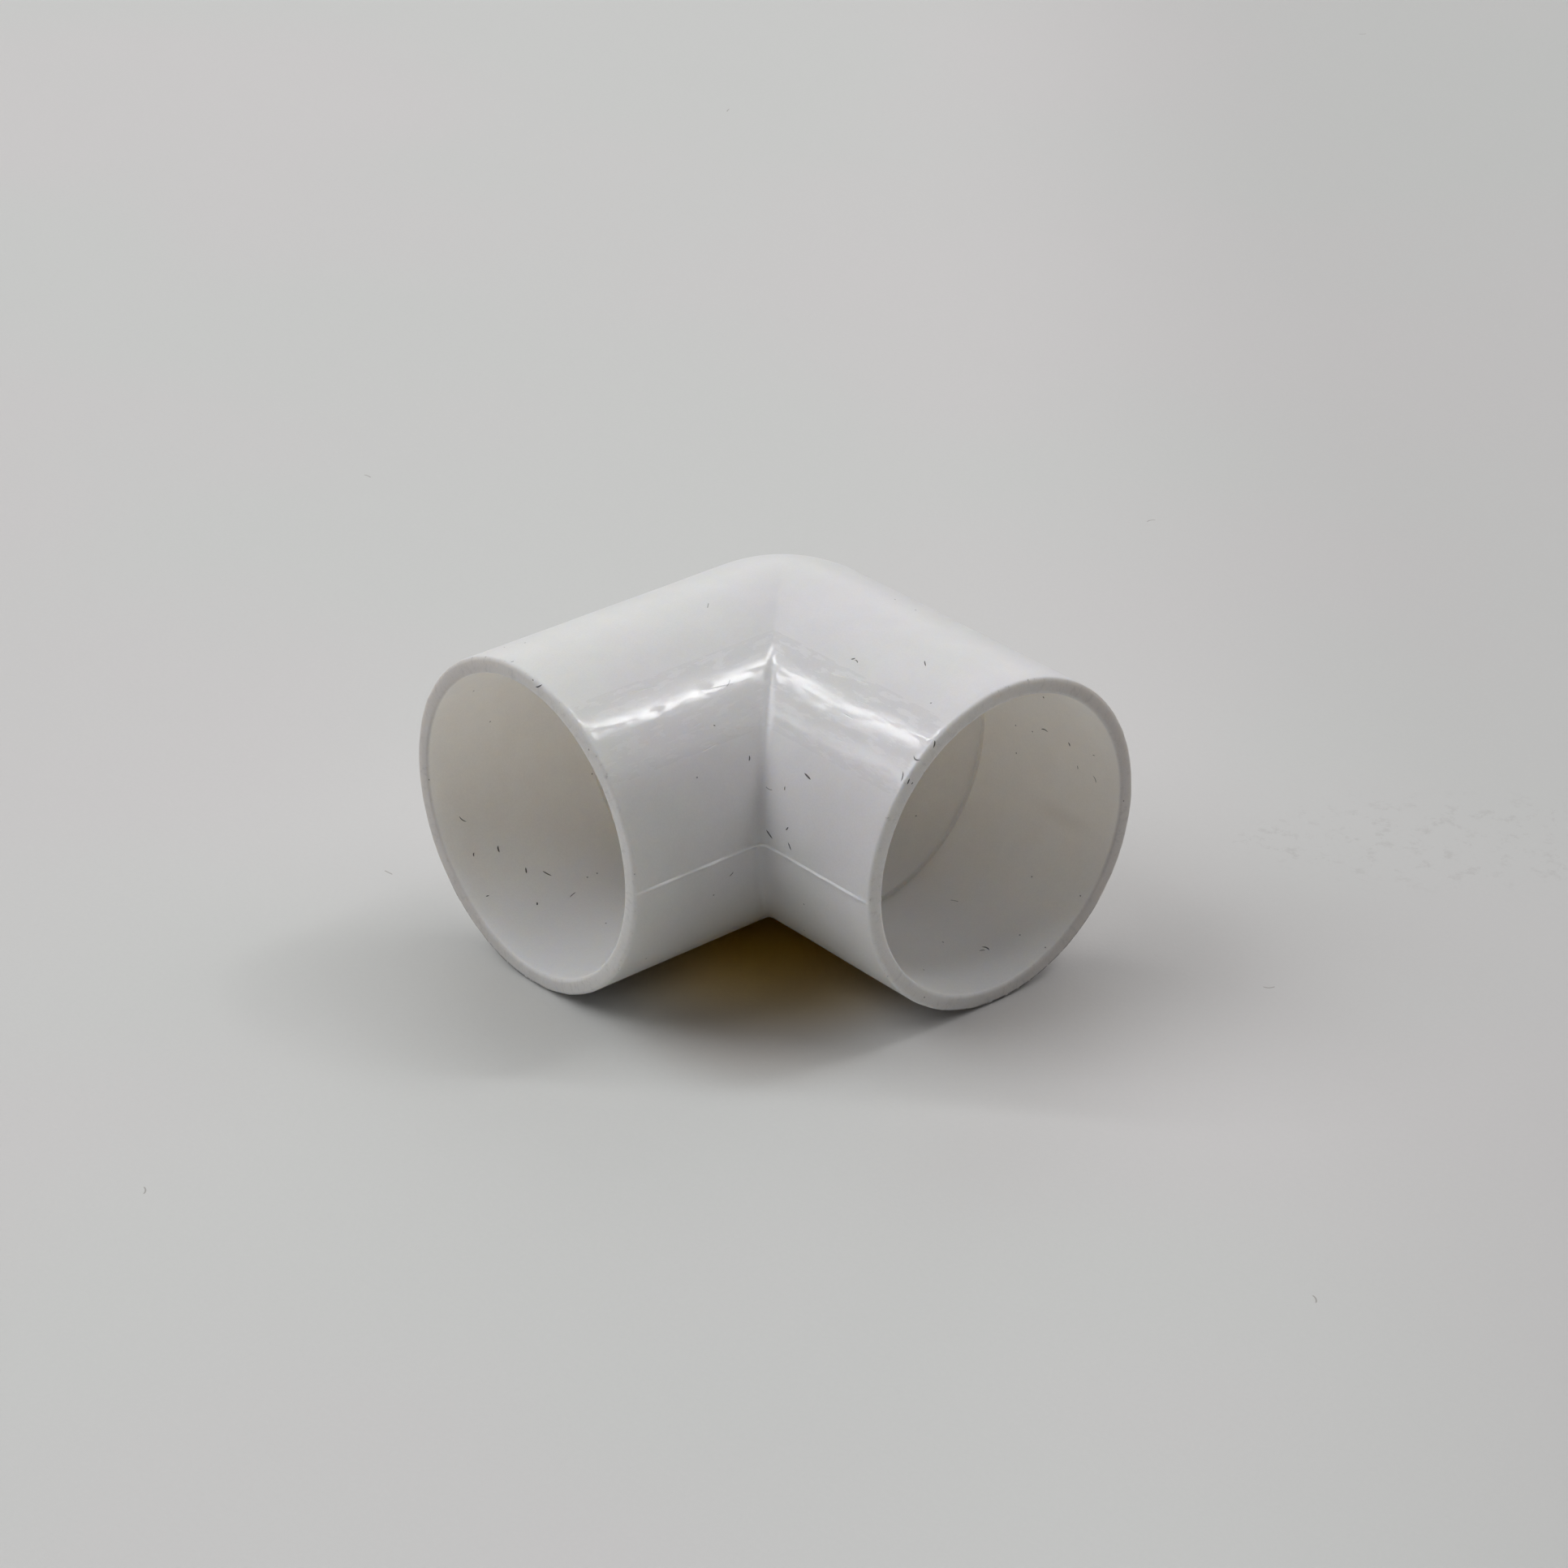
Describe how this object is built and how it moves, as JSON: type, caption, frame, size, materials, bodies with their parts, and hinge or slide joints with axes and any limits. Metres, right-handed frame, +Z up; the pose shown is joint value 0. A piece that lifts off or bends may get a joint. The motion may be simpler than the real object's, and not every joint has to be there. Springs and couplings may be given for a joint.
{
  "type": "pvc elbow fitting",
  "caption": "Right-angle slip elbow in thin-walled white PVC, with plain round pipe sockets at both ends.",
  "frame": {"origin": "on the bench, under the middle of the bounding box, with the elbow lying flat on one side", "axes": "+X and -Y point out of the two sockets along their axes, and +Z is up, square to the plane of the bend"},
  "size_m": [0.0406, 0.0406, 0.028],
  "materials": {
    "white_pvc": "semi-gloss injection-moulded PVC, slightly translucent, finely scuffed"
  },
  "bodies": {
    "root": {"elbow_body": "white_pvc"}
  },
  "joints": []
}
